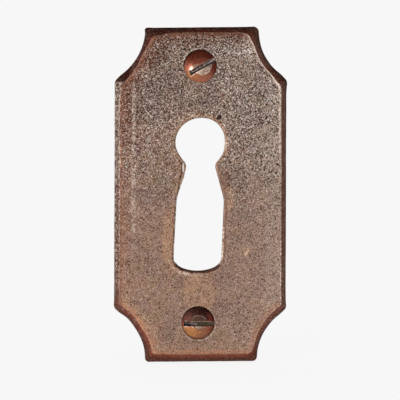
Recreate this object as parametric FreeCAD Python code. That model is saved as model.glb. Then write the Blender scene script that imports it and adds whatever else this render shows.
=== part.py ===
import FreeCAD, Part
import math
import os

# Keyhole escutcheon: a copper plate pressed from sheet, with scalloped corners, a
# turned-down bevelled rim and a hollow back, held to the wood by two slotted wood screws.
# X runs to the right, Z up, and the face of the plate looks along -Y.
# The origin lies halfway between the two screws, on the wood that the rim rests on.

# Plate outline
plate_width = 30.0
plate_height = 58.4
end_width = 19.7
end_shift = 0.15
scallop_height = 9.55
left_scallop_radius = 11.7
right_scallop_radius = 10.9
side_tip_radius = 1.0
end_tip_radius = 0.8

# Plate section
plate_depth = 2.2
sheet_thickness = 1.0
bevel_drop = 1.15
side_bevel = 0.95
scallop_bevel = 1.0
top_bevel = 1.15
bottom_bevel = 1.5
face_tip_radius = 0.35
brow_radius = 0.3

# Hollow back
rim_wall = 1.0
top_rim_wall = 1.2
bottom_rim_wall = 1.45
hollow_draft = 0.25
hollow_tip_radius = 0.5

# Keyhole
bow_hole_radius = 4.37
bow_hole_height = 8.9
neck_width = 4.85
neck_corner_radius = 1.1
shoulder_width = 8.2
shoulder_drop = 9.7
shoulder_corner_radius = 2.0
foot_width = 8.32
foot_drop = 20.8
foot_bulge = 1.46
foot_drift = 0.5
foot_corner_radius = 0.25
keyhole_edge_radius = 0.3

# Screw places and their seats, where the sheet is dimpled down to the wood
screw_inset = 6.95
upper_screw_drift = 0.08
lower_screw_drift = 0.3
seat_clearance = 0.03
shank_clearance = 0.45
dimple_wall = 0.7
dimple_lift = 0.15

# Wood screws
head_radius = 2.8
head_rise = 0.9
head_edge = 0.12
head_angle = 82.0
shank_radius = 1.5
screw_length = 16.0
plain_length = 5.2
core_radius = 1.25
core_end_radius = 0.95
core_step = 0.4
point_length = 2.6
throat_radius = 1.0
slot_width = 0.72
slot_depth = 0.85
upper_slot_angle = 23.0
lower_slot_angle = 0.0
upper_slot_offset = 0.28
lower_slot_offset = 0.05
upper_slot_stop = 0.75
lower_slot_stop = 0.38
upper_flat_radius = 1.6
lower_flat_radius = 1.32

overcut = 1.0


def at(x, y, z):
    return FreeCAD.Vector(x, y, z)


def arc(start, middle, end):
    return Part.Arc(start, middle, end).toShape()


def line(start, end):
    return Part.LineSegment(start, end).toShape()


def scallop_centre(right, radius):
    """The centre of a scallop, beyond the corner that it takes away. It is worked out for
    the top of the plate, with x counted outwards from the middle. The ends of the plate
    sit a little to the right, so the scallops on the left cut in further."""
    side_x, side_z = plate_width / 2, plate_height / 2 - scallop_height
    end_x, end_z = end_width / 2 + right * end_shift, plate_height / 2
    chord_x, chord_z = end_x - side_x, end_z - side_z
    chord = math.hypot(chord_x, chord_z)
    reach = math.sqrt(radius**2 - (chord / 2) ** 2)
    middle_x, middle_z = (side_x + end_x) / 2, (side_z + end_z) / 2
    return middle_x + reach * chord_z / chord, middle_z - reach * chord_x / chord


def on_circle(centre, radius, towards):
    """The point of a circle that lies towards another point."""
    run, rise = towards[0] - centre[0], towards[1] - centre[1]
    span = math.hypot(run, rise)
    return centre[0] + radius * run / span, centre[1] + radius * rise / span


def corner_points(right, side_x, end_z, inset, side_round, end_round):
    """A corner of the plate, from the side round to the end: a rounded tip, the hollow
    scallop and a second rounded tip, as the start, middle and end of three arcs."""
    full_radius = right_scallop_radius if right > 0 else left_scallop_radius
    centre = scallop_centre(right, full_radius)
    radius = full_radius + inset
    side_tip_x = side_x - side_round
    side_tip_z = centre[1] - math.sqrt((radius + side_round) ** 2 - (centre[0] - side_tip_x) ** 2)
    end_tip_z = end_z - end_round
    end_tip_x = centre[0] - math.sqrt((radius + end_round) ** 2 - (centre[1] - end_tip_z) ** 2)
    side_tip, end_tip = (side_tip_x, side_tip_z), (end_tip_x, end_tip_z)
    side_start = (side_x, side_tip_z)
    side_end = on_circle(centre, radius, side_tip)
    end_start = on_circle(centre, radius, end_tip)
    end_end = (end_tip_x, end_z)
    half_way = ((side_end[0] + end_start[0]) / 2, (side_end[1] + end_start[1]) / 2)
    side_bend = ((side_start[0] + side_end[0]) / 2, (side_start[1] + side_end[1]) / 2)
    end_bend = ((end_start[0] + end_end[0]) / 2, (end_start[1] + end_end[1]) / 2)
    return [
        side_start,
        on_circle(side_tip, side_round, side_bend),
        side_end,
        on_circle(centre, radius, half_way),
        end_start,
        on_circle(end_tip, end_round, end_bend),
        end_end,
    ]


def outline(y, sides, top, bottom, scallops, side_round, end_round):
    """The closed outline of the plate at depth y, drawn in from the full outline by the
    amounts given for the sides, the two ends and the scallops."""
    edges = []
    last = None
    first = None
    for right, up in ((1, 1), (-1, 1), (-1, -1), (1, -1)):
        side_x = plate_width / 2 - sides
        end_z = plate_height / 2 - (top if up > 0 else bottom)
        points = corner_points(right, side_x, end_z, scallops, side_round, end_round)
        places = [at(right * x, y, up * z) for x, z in points]
        if right * up < 0:
            places.reverse()
        if last is None:
            first = places[0]
        else:
            edges.append(line(last, places[0]))
        for i in (0, 2, 4):
            edges.append(arc(places[i], places[i + 1], places[i + 2]))
        last = places[-1]
    edges.append(line(last, first))
    return Part.Wire(edges)


def rim_outline(y):
    return outline(y, 0, 0, 0, 0, side_tip_radius, end_tip_radius)


def face_outline(y):
    return outline(
        y, side_bevel, top_bevel, bottom_bevel, scallop_bevel, face_tip_radius, face_tip_radius
    )


def hollow_outline(y, draft):
    return outline(
        y,
        rim_wall + draft,
        top_rim_wall + draft,
        bottom_rim_wall + draft,
        rim_wall + draft,
        hollow_tip_radius,
        hollow_tip_radius,
    )


def pressed_blank():
    """The outside of the plate: an upright lip, then a bevel that leans in to the face.
    The brow between the lip and the bevel is rounded, as the press leaves it."""
    lip = plate_depth - bevel_drop
    lower = Part.makeLoft([rim_outline(0), rim_outline(-lip)], True, True)
    upper = Part.makeLoft([rim_outline(-lip), face_outline(-plate_depth)], True, True)
    blank = lower.fuse(upper).removeSplitter()
    brow = [edge for edge in blank.Edges if lies_at_depth(edge, -lip)]
    return blank.makeFillet(brow_radius, brow)


def lies_at_depth(edge, y):
    box = edge.BoundBox
    return abs(box.YMin - y) < 1e-4 and abs(box.YMax - y) < 1e-4


def hollow():
    """The space behind the plate, which leaves the sheet's own thickness in front."""
    ceiling = plate_depth - sheet_thickness
    return Part.makeLoft([hollow_outline(0, 0), hollow_outline(-ceiling, hollow_draft)], True, True)


def keyhole_cutter():
    """The keyhole right through: a round hole for the key's stem, a neck and a flared
    slot for its bit. The slot drifts to the left on its way down."""
    neck_z = bow_hole_height - math.sqrt(bow_hole_radius**2 - (neck_width / 2) ** 2)
    shoulder_z = bow_hole_height - shoulder_drop
    foot_z = bow_hole_height - foot_drop
    front = -plate_depth - overcut

    def place(x, z):
        return at(x, front, z)

    neck_left, neck_right = place(-neck_width / 2, neck_z), place(neck_width / 2, neck_z)
    crown = place(0, bow_hole_height + bow_hole_radius)
    shoulder_left = place(-shoulder_width / 2, shoulder_z)
    shoulder_right = place(shoulder_width / 2, shoulder_z)
    foot_left = place(-foot_drift - foot_width / 2, foot_z)
    foot_right = place(-foot_drift + foot_width / 2, foot_z)
    sole = place(-foot_drift, foot_z - foot_bulge)
    wire = Part.Wire(
        [
            arc(neck_right, crown, neck_left),
            line(neck_left, shoulder_left),
            line(shoulder_left, foot_left),
            arc(foot_left, sole, foot_right),
            line(foot_right, shoulder_right),
            line(shoulder_right, neck_right),
        ]
    )
    cutter = Part.Face(wire).extrude(at(0, plate_depth + 2 * overcut, 0))
    for radius, z in (
        (neck_corner_radius, neck_z),
        (shoulder_corner_radius, shoulder_z),
        (foot_corner_radius, foot_z),
    ):
        cutter = cutter.makeFillet(radius, upright_edges(cutter, z))
    return cutter


def upright_edges(shape, z):
    """The edges that run from front to back at height z."""
    return [
        edge
        for edge in shape.Edges
        if abs(edge.BoundBox.ZMin - z) < 1e-4 and abs(edge.BoundBox.ZMax - z) < 1e-4
        and edge.BoundBox.YLength > plate_depth
    ]


def round_keyhole_edge(plate):
    """Rounds the front edge of the keyhole, which the punch draws down with it."""
    edges = [
        edge
        for edge in plate.Edges
        if lies_at_depth(edge, -plate_depth) and in_keyhole(edge.BoundBox)
    ]
    return plate.makeFillet(keyhole_edge_radius, edges)


def in_keyhole(box):
    reach = max(bow_hole_radius, shoulder_width / 2, foot_drift + foot_width / 2) + overcut / 2
    low = bow_hole_height - foot_drop - foot_bulge - overcut / 2
    high = bow_hole_height + bow_hole_radius + overcut / 2
    return -reach < box.XMin and box.XMax < reach and low < box.ZMin and box.ZMax < high


def screw_height():
    """How far each screw sits above or below the middle of the plate."""
    return plate_height / 2 - screw_inset


def cone_height():
    """How far the screw head's cone runs from its edge down to the shank."""
    return (head_radius - shank_radius) / math.tan(math.radians(head_angle / 2))


def along_y(x, z, profile):
    """The solid turned from a profile of radii and depths about a line along Y."""
    corners = [at(radius, y, 0) for radius, y in profile]
    wire = Part.makePolygon(corners + corners[:1])
    turned = Part.Face(wire).revolve(at(0, 0, 0), at(0, 1, 0), 360)
    turned.translate(at(x, 0, z))
    return turned


def seat_cutter(x, z):
    """The countersunk hole for one screw: its head and shank with their clearances."""
    mouth = head_radius + seat_clearance
    hole = shank_radius + shank_clearance
    edge_y = -plate_depth + head_edge
    hole_y = edge_y + cone_height() * (mouth - hole) / (head_radius - shank_radius)
    profile = [
        (0, -plate_depth - overcut),
        (mouth, -plate_depth - overcut),
        (mouth, edge_y),
        (hole, hole_y),
        (hole, overcut),
        (0, overcut),
    ]
    return along_y(x, z, profile)


def dimple(x, z):
    """The cone that the press pushes down behind the plate under one screw head."""
    ceiling = -(plate_depth - sheet_thickness / 2)
    wide = head_radius + dimple_wall
    narrow = shank_radius + shank_clearance + dimple_wall
    profile = [(0, ceiling), (wide, ceiling), (narrow, -dimple_lift), (0, -dimple_lift)]
    return along_y(x, z, profile)


def escutcheon_plate():
    seats = (
        (-upper_screw_drift, screw_height()),
        (-lower_screw_drift, -screw_height()),
    )
    plate = pressed_blank().cut(hollow())
    for x, z in seats:
        plate = plate.fuse(dimple(x, z))
    for x, z in seats:
        plate = plate.cut(seat_cutter(x, z))
    plate = plate.cut(keyhole_cutter()).removeSplitter()
    return round_keyhole_edge(plate)


def screw_blank(flat_radius):
    """A wood screw without its slot, with the point along +Y and its head's edge level
    with the face of the plate. The crown of the raised head is worn flat."""
    face_y = -plate_depth
    edge_y = face_y + head_edge
    shank_y = edge_y + cone_height()
    dome_radius = (head_radius**2 + head_rise**2) / (2 * head_rise)
    dome_centre_y = face_y - head_rise + dome_radius
    tip_y = screw_length - plate_depth
    plain_y = shank_y + plain_length
    point_y = tip_y - point_length

    def on_dome(radius):
        return at(radius, dome_centre_y - math.sqrt(dome_radius**2 - radius**2), 0)

    crown = on_dome(flat_radius)
    half_way = on_dome((flat_radius + head_radius) / 2)
    head_rim = at(head_radius, face_y, 0)
    throat_start, throat_middle, throat_end = throat(shank_y)
    places = [
        throat_end,
        at(shank_radius, plain_y, 0),
        at(core_radius, plain_y + core_step, 0),
        at(core_end_radius, point_y, 0),
        at(0, tip_y, 0),
        at(0, crown.y, 0),
        crown,
    ]
    edges = [line(a, b) for a, b in zip(places, places[1:])]
    edges += [
        arc(crown, half_way, head_rim),
        line(head_rim, at(head_radius, edge_y, 0)),
        line(at(head_radius, edge_y, 0), throat_start),
        arc(throat_start, throat_middle, throat_end),
    ]
    return Part.Face(Part.Wire(edges)).revolve(at(0, 0, 0), at(0, 1, 0), 360)


def throat(shank_y):
    """The rounded throat where the head's cone runs into the shank, as an arc."""
    slope = math.radians(head_angle / 2)
    reach = throat_radius * math.tan(slope / 2)
    centre = (shank_radius + throat_radius, shank_y + reach)
    middle = on_circle(centre, throat_radius, (shank_radius, shank_y))
    start = at(shank_radius + reach * math.sin(slope), shank_y - reach * math.cos(slope), 0)
    return start, at(middle[0], middle[1], 0), at(shank_radius, shank_y + reach, 0)


def wood_screw(x, z, slot_angle, slot_offset, slot_stop, flat_radius):
    """One slotted screw. The slot passes a little below the middle of the head, and stops
    short of its edge at the left end, where old finish fills it."""
    length = 2 * head_radius - slot_stop + overcut
    slot = Part.makeBox(
        length,
        overcut + head_rise + slot_depth,
        slot_width,
        at(-head_radius + slot_stop, -plate_depth - overcut - head_rise, 0),
    )
    dome = screw_blank(flat_radius)
    floor_y = dome.BoundBox.YMin + slot_depth
    slot.translate(at(0, floor_y - slot.BoundBox.YMax, -slot_offset - slot_width / 2))
    screw = dome.cut(slot)
    screw.rotate(at(0, 0, 0), at(0, 1, 0), -slot_angle)
    screw.translate(at(x, 0, z))
    return screw


def write(name, shape):
    shape.exportStep(os.path.join("parts", name + ".step"))


os.makedirs("parts", exist_ok=True)
write("escutcheon_plate", escutcheon_plate())
write(
    "upper_screw",
    wood_screw(
        -upper_screw_drift,
        screw_height(),
        upper_slot_angle,
        upper_slot_offset,
        upper_slot_stop,
        upper_flat_radius,
    ),
)
write(
    "lower_screw",
    wood_screw(
        -lower_screw_drift,
        -screw_height(),
        lower_slot_angle,
        lower_slot_offset,
        lower_slot_stop,
        lower_flat_radius,
    ),
)
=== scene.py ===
import bpy
import bmesh
import math
import numpy as np
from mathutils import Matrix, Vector, kdtree
from mathutils.geometry import delaunay_2d_cdt


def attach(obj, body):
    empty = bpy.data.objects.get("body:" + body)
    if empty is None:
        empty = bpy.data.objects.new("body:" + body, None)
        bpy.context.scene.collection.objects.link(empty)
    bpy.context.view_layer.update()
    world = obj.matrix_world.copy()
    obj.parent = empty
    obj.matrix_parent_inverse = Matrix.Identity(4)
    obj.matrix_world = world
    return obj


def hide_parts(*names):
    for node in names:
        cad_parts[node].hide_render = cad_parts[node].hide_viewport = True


# Looks of a keyhole escutcheon: a copper plate with a sandy brown finish and two slotted
# wood screws. Sizes are in millimetres and become metres where a mesh is written.
# X runs to the right, Z up, and the face of the plate looks along -Y.
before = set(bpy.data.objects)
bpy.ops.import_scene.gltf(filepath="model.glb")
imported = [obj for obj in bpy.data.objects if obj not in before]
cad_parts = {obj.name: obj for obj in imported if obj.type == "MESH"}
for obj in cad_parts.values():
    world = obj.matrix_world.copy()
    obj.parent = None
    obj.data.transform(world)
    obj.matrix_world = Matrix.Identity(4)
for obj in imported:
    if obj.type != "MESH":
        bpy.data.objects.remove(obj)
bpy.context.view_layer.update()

# The camera looks square on at the face, from far enough away that the walls of the
# keyhole hardly show. It is rolled a little, so that the plate leans as in the picture.
lens_length = 85.0
sensor_width = 36.0
view_width = 69.77
view_centre = (-0.05, -0.985)
view_plane = -1.0
plate_lean = 0.19

camera_data = bpy.data.cameras.new("camera")
camera_data.lens = lens_length
camera_data.sensor_width = sensor_width
camera_data.clip_start = 0.005
camera_data.clip_end = 20.0
camera = bpy.data.objects.new("camera", camera_data)
camera_distance = view_width * lens_length / sensor_width
camera.location = Vector((view_centre[0], view_plane - camera_distance, view_centre[1])) / 1000
camera.rotation_euler = (math.radians(90), math.radians(-plate_lean), 0)
bpy.context.collection.objects.link(camera)
bpy.context.scene.camera = camera
bpy.context.scene.view_settings.view_transform = "Standard"


# The studio is a pale floor and a pale room. A large soft lamp stands low on the left,
# and black cards above and on the right keep the upper bevels and screw heads dark.
class Value:
    """What a node puts out. Sums with it add the Math nodes that work them out."""

    def __init__(self, socket):
        self.socket = socket

    def __add__(self, other):
        return calc("ADD", self, other)

    def __radd__(self, other):
        return calc("ADD", other, self)

    def __sub__(self, other):
        return calc("SUBTRACT", self, other)

    def __rsub__(self, other):
        return calc("SUBTRACT", other, self)

    def __mul__(self, other):
        return calc("MULTIPLY", self, other)

    def __truediv__(self, other):
        return calc("DIVIDE", self, other)

    def __rtruediv__(self, other):
        return calc("DIVIDE", other, self)

    def __pow__(self, other):
        return calc("POWER", self, other)

    def __abs__(self):
        return calc("ABSOLUTE", self)


class Outputs:
    """A node's outputs by name or number, each as a Value."""

    def __init__(self, made):
        self.made = made

    def __getitem__(self, name):
        return Value(self.made.outputs[name])


def node(kind, inputs=(), **settings):
    """Adds a node to the tree in hand, called tree, sets it up, and fills its inputs with
    numbers, colours or other nodes' values."""
    made = tree.nodes.new(kind)
    for name, value in settings.items():
        setattr(made, name, value)
    for name, value in dict(inputs).items():
        if isinstance(value, Value):
            tree.links.new(value.socket, made.inputs[name])
        else:
            made.inputs[name].default_value = value
    return Outputs(made)


def calc(operation, *values, clamp=False):
    """A Math node's result."""
    return node("ShaderNodeMath", enumerate(values), operation=operation, use_clamp=clamp)[0]


def srgb(red, green, blue):
    """A colour as it is read off a picture, turned into the light that it stands for."""
    shares = [c / 255 for c in (red, green, blue)]
    return tuple(c / 12.92 if c < 0.04045 else ((c + 0.055) / 1.055) ** 2.4 for c in shares) + (1,)


def backdrop_rays():
    """1 for the rays that show the pale backdrop: the camera's own, and those that metal
    or glass sends on."""
    path = node("ShaderNodeLightPath")
    seen = calc("MAXIMUM", path["Is Camera Ray"], path["Is Glossy Ray"])
    return calc("MAXIMUM", seen, path["Is Transmission Ray"])


backdrop_level = 0.93
room_level = 0.75
floor_paint = (0.8, 0.8, 0.8, 1)
floor_show = 0.9
floor_level = 0.967
floor_reach = 4000.0
plate_foot = -29.32
key_place = (-190.0, -260.0, 12.0)
key_width, key_height = 45.0, 80.0
key_power = 0.5
card_black = (0.015, 0.012, 0.01, 1)

world = bpy.data.worlds.new("pale room")
world.use_nodes = True
bpy.context.scene.world = world
tree = world.node_tree
tree.nodes.clear()
shown = node("ShaderNodeBackground", {"Color": (1, 1, 1, 1), "Strength": backdrop_level})
light = node("ShaderNodeBackground", {"Color": (1, 1, 1, 1), "Strength": room_level})
both = node("ShaderNodeMixShader", {0: backdrop_rays(), 1: light[0], 2: shown[0]})
node("ShaderNodeOutputWorld", {"Surface": both[0]})


def board(name, corners):
    """A flat four-cornered piece of the studio."""
    mesh = bpy.data.meshes.new(name)
    mesh.from_pydata([Vector(c) / 1000 for c in corners], [], [(0, 1, 2, 3)])
    made = bpy.data.objects.new(name, mesh)
    bpy.context.collection.objects.link(made)
    return made


floor = board(
    "floor",
    [
        (-floor_reach, -floor_reach, plate_foot),
        (floor_reach, -floor_reach, plate_foot),
        (floor_reach, floor_reach, plate_foot),
        (-floor_reach, floor_reach, plate_foot),
    ],
)
pale = bpy.data.materials.new("pale floor")
pale.use_nodes = True
tree = pale.node_tree
tree.nodes.clear()
painted = node("ShaderNodeBsdfDiffuse", {"Color": floor_paint})
shown = node("ShaderNodeEmission", {"Color": (1, 1, 1, 1), "Strength": floor_level})
share = backdrop_rays() * floor_show
both = node("ShaderNodeMixShader", {0: share, 1: painted[0], 2: shown[0]})
node("ShaderNodeOutputMaterial", {"Surface": both[0]})
floor.data.materials.append(pale)

black = bpy.data.materials.new("black card")
black.use_nodes = True
tree = black.node_tree
tree.nodes.clear()
painted = node("ShaderNodeBsdfDiffuse", {"Color": card_black})
node("ShaderNodeOutputMaterial", {"Surface": painted[0]})
card_above = board(
    "card_above", [(-110, -250, 80), (200, -250, 80), (200, 150, 80), (-110, 150, 80)]
)
card_right = board(
    "card_right", [(130, -150, -28), (130, 90, -28), (130, 90, 80), (130, -150, 80)]
)
for card in (card_above, card_right):
    card.data.materials.append(black)
    card.visible_camera = False
    card.visible_diffuse = False
    card.visible_shadow = False

key_data = bpy.data.lights.new("key lamp", "AREA")
key_data.shape = "RECTANGLE"
key_data.size = key_width / 1000
key_data.size_y = key_height / 1000
key_data.energy = key_power
key_data.color = (1.0, 0.97, 0.93)
key = bpy.data.objects.new("key lamp", key_data)
key.location = Vector(key_place) / 1000
key.rotation_euler = Vector([-c for c in key_place]).to_track_quat("-Z", "Y").to_euler()
bpy.context.collection.objects.link(key)


# The plate is one pressing from copper sheet: a sand-textured face, a smooth browned bevel
# that turns down to the wood, a hollow back, dimples under the screws and a punched keyhole.
# The press has left the bevel's edge soft and uneven, and hands have worn it bright.
plate_width = 30.0
plate_height = 58.4
end_width = 19.7
end_shift = 0.15
scallop_height = 9.55
scallop_radius = {-1: 11.7, 1: 10.9}
face_depth = -2.2
lip_depth = -1.05
ceiling_depth = -1.2
side_bevel, scallop_bevel, top_bevel, bottom_bevel = 0.95, 1.0, 1.15, 1.5
screw_height = 22.25
seat_centres = ((-0.08, screw_height), (-0.3, -screw_height))
seat_radius = 2.86
grid_step = 0.26
back_step = 0.7

side_steps, end_steps, tip_steps, scallop_steps = 140, 68, 8, 50


def arc_points(start, middle, end, steps):
    """Points on the arc through three given points."""
    (ax, ay), (bx, by), (cx, cy) = start, middle, end
    turn = 2 * (ax * (by - cy) + bx * (cy - ay) + cx * (ay - by))
    a, b, c = ax * ax + ay * ay, bx * bx + by * by, cx * cx + cy * cy
    x = (a * (by - cy) + b * (cy - ay) + c * (ay - by)) / turn
    y = (a * (cx - bx) + b * (ax - cx) + c * (bx - ax)) / turn
    first = math.atan2(ay - y, ax - x)
    half = (math.atan2(by - y, bx - x) - first + math.pi) % (2 * math.pi) - math.pi
    rest = (math.atan2(cy - y, cx - x) - first - half + math.pi) % (2 * math.pi) - math.pi
    angles = first + (half + rest) * np.arange(steps) / steps
    radius = math.hypot(ax - x, ay - y)
    return np.stack([x + radius * np.cos(angles), y + radius * np.sin(angles)], 1)


def towards(centre, radius, point):
    """The point of a circle that lies in the direction of another point."""
    run, rise = point[0] - centre[0], point[1] - centre[1]
    span = math.hypot(run, rise)
    return centre[0] + radius * run / span, centre[1] + radius * rise / span


def plate_corner(right, side_x, end_z, inset, side_round, end_round):
    """A corner of the plate from its side round to its end, as the start, middle and end
    of three arcs: a rounded tip, the hollow scallop and a second rounded tip."""
    out_x, out_z = plate_width / 2, plate_height / 2 - scallop_height
    in_x, in_z = end_width / 2 + right * end_shift, plate_height / 2
    chord = math.hypot(in_x - out_x, in_z - out_z)
    reach = math.sqrt(scallop_radius[right] ** 2 - (chord / 2) ** 2)
    centre = (
        (out_x + in_x) / 2 + reach * (in_z - out_z) / chord,
        (out_z + in_z) / 2 - reach * (in_x - out_x) / chord,
    )
    radius = scallop_radius[right] + inset
    side_x_centre = side_x - side_round
    side_drop = math.sqrt((radius + side_round) ** 2 - (centre[0] - side_x_centre) ** 2)
    side_tip = (side_x_centre, centre[1] - side_drop)
    end_z_centre = end_z - end_round
    end_drop = math.sqrt((radius + end_round) ** 2 - (centre[1] - end_z_centre) ** 2)
    end_tip = (centre[0] - end_drop, end_z_centre)
    places = [(side_x, side_tip[1]), towards(centre, radius, side_tip)]
    places += [towards(centre, radius, end_tip), (end_tip[0], end_z)]
    middles = [
        towards(tip, size, ((a[0] + b[0]) / 2, (a[1] + b[1]) / 2))
        for tip, size, a, b in (
            (side_tip, side_round, places[0], places[1]),
            (centre, radius, places[1], places[2]),
            (end_tip, end_round, places[2], places[3]),
        )
    ]
    return places, middles


def plate_outline(sides, top, bottom, scallops, side_round, end_round):
    """The closed outline of the plate, drawn in from its full size. Every outline has the
    same number of points, so that any two of them can be joined."""
    parts = []
    starts = []
    for right, up in ((1, 1), (-1, 1), (-1, -1), (1, -1)):
        places, middles = plate_corner(
            right,
            plate_width / 2 - sides,
            plate_height / 2 - (top if up > 0 else bottom),
            scallops,
            side_round,
            end_round,
        )
        sections = list(zip(places, middles, places[1:], (tip_steps, scallop_steps, tip_steps)))
        if right * up < 0:
            sections = [(c, b, a, steps) for a, b, c, steps in reversed(sections)]
        arcs = [arc_points(a, b, c, steps) for a, b, c, steps in sections]
        corner = np.concatenate(arcs + [np.array([sections[-1][2]])]) * (right, up)
        parts.append(corner)
        starts.append(corner[0])
    points = []
    for i, corner in enumerate(parts):
        points.append(corner[:-1])
        steps = end_steps if i % 2 == 0 else side_steps
        share = np.arange(steps)[:, None] / steps
        points.append(corner[-1] + (starts[(i + 1) % 4] - corner[-1]) * share)
    return np.concatenate(points)


corner_steps = 2 * tip_steps + scallop_steps
run_lengths = (corner_steps, end_steps, corner_steps, side_steps) * 2


def along_outline(values, softness):
    """Spreads one value for each run of the outline (top right scallop, top, top left
    scallop, left side, and so on round to the right side) over its points, blended where
    the runs meet."""
    spread = np.concatenate([np.full(n, v, float) for n, v in zip(run_lengths, values)])
    weights = np.hanning(2 * softness + 1)[1:-1]
    padded = np.concatenate([spread[-softness:], spread, spread[:softness]])
    return np.convolve(padded, weights / weights.sum(), "same")[softness:-softness]


def inward(points, softness=1):
    """The direction from each point of a closed outline towards its inside, evened out
    over its neighbours."""
    run = np.roll(points, -1, 0) - np.roll(points, 1, 0)
    run /= np.linalg.norm(run, axis=1)[:, None]
    across = np.stack([-run[:, 1], run[:, 0]], 1)
    if softness > 1:
        across = sum(np.roll(across, k, 0) for k in range(-softness, softness + 1))
        across /= np.linalg.norm(across, axis=1)[:, None]
    return across


def near(points, place, spread):
    """1 at a place, falling off to 0 over the given distance."""
    away = np.linalg.norm(points - np.array(place), axis=1)
    return np.exp(-((away / spread) ** 2))


def wave(count, seed, lengths):
    """A smooth uneven run of values round a closed outline, between about -1 and 1."""
    draw = np.random.default_rng(seed)
    turn = np.linspace(0, 2 * math.pi, count, endpoint=False)
    total = np.zeros(count)
    for cycles in lengths:
        total += draw.uniform(0.4, 1.0) * np.sin(cycles * turn + draw.uniform(0, 2 * math.pi))
    return total / len(lengths)


rim = plate_outline(0, 0, 0, 0, 1.0, 0.8)
hollow_mouth = plate_outline(1.0, 1.2, 1.45, 1.0, 0.5, 0.5)
hollow_ceiling = plate_outline(1.25, 1.45, 1.7, 1.25, 0.5, 0.5)
brim = plate_outline(side_bevel, top_bevel, bottom_bevel, scallop_bevel, 0.8, 0.8)
around = len(rim)
brim_shift = along_outline((0.12, 0.02, -0.25, 0.02, 0, 0.05, 0, 0.02), 8)
brim_shift = brim_shift + 0.06 * wave(around, 3, (7, 13, 22, 41))
brim = brim + inward(brim, 5) * brim_shift[:, None]
for place, spread, pull in (
    ((-8.9, 28.1), 2.4, (0.45, -0.75)),
    ((-14.0, 19.3), 1.8, (0.35, -0.45)),
    ((9.2, -28.0), 1.5, (-0.25, 0.15)),
    ((-12.0, 22.0), 2.0, (0.2, -0.2)),
    ((13.9, 19.4), 1.4, (-0.12, -0.2)),
    ((8.9, 28.0), 1.5, (-0.6, -0.3)),
    ((-9.9, -26.4), 3.0, (0.66, 0.16)),
    ((-12.6, -22.0), 2.4, (0.2, 0.2)),
    ((13.0, 20.6), 2.6, (0.17, 0.19)),
    ((9.6, -25.8), 2.0, (0.12, -0.02)),
):
    brim = brim + near(brim, place, spread)[:, None] * np.array(pull)
rim_shift = 0.03 * wave(around, 5, (9, 17, 31, 53))
rim_shift = rim_shift + along_outline((-0.12, 0.03, 0.03, 0.0, 0.0, 0.03, 0.0, 0.03), 8)
rim = rim + inward(rim) * rim_shift[:, None]
for place, spread, pull in (
    ((-9.5, 29.0), 0.55, (-0.22, 0.08)),
    ((9.8, 29.1), 0.6, (-0.08, -0.05)),
    ((14.0, 20.9), 1.5, (0.24, 0.24)),
    ((12.4, 22.8), 2.2, (0.12, 0.1)),
    ((-14.0, 20.6), 1.5, (-0.2, 0.18)),
    ((-12.6, 22.4), 2.0, (-0.1, 0.1)),
    ((14.0, -20.5), 1.5, (0.2, -0.18)),
    ((12.7, -22.4), 2.4, (0.14, -0.12)),
    ((-14.1, -20.4), 1.3, (-0.22, -0.2)),
    ((-9.9, -26.4), 3.0, (0.24, 0.02)),
):
    rim = rim + near(rim, place, spread)[:, None] * np.array(pull)


def rounded_path(sides, cuts):
    """A closed outline from open runs of points, each corner between two runs eased by a
    curve that starts and ends the given distance from it."""
    eased = []
    for i, side in enumerate(sides):
        steps = np.linalg.norm(np.diff(side, axis=0), axis=1)
        length = np.concatenate([[0], np.cumsum(steps)])
        before, after = cuts[i], cuts[(i + 1) % len(sides)]
        count = max(3, round((length[-1] - before - after) / grid_step))
        places = np.linspace(before, length[-1] - after, count)
        run = np.stack([np.interp(places, length, side[:, k]) for k in (0, 1)], 1)
        eased.append((run, side[-1]))
    points = []
    for i, (run, corner) in enumerate(eased):
        start = eased[(i + 1) % len(eased)][0][0]
        points.append(run)
        bend = max(2, round(2 * cuts[(i + 1) % len(sides)] / grid_step) + 3)
        t = (np.arange(1, bend) / bend)[:, None]
        points.append((1 - t) ** 2 * run[-1] + 2 * t * (1 - t) * corner + t**2 * start)
    return np.concatenate(points)


bow_radius, bow_height = 4.37, 8.9
neck_half, shoulder_half, shoulder_height = 2.425, 4.1, -0.8
foot_half, foot_height, foot_drift, foot_bulge = 4.16, -11.9, -0.5, 1.46
neck_height = bow_height - math.sqrt(bow_radius**2 - neck_half**2)
straight = np.linspace(0, 1, 40)[:, None]


def straight_run(start, end):
    """Even points on a straight line."""
    return np.array(start) + (np.array(end) - np.array(start)) * straight


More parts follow.
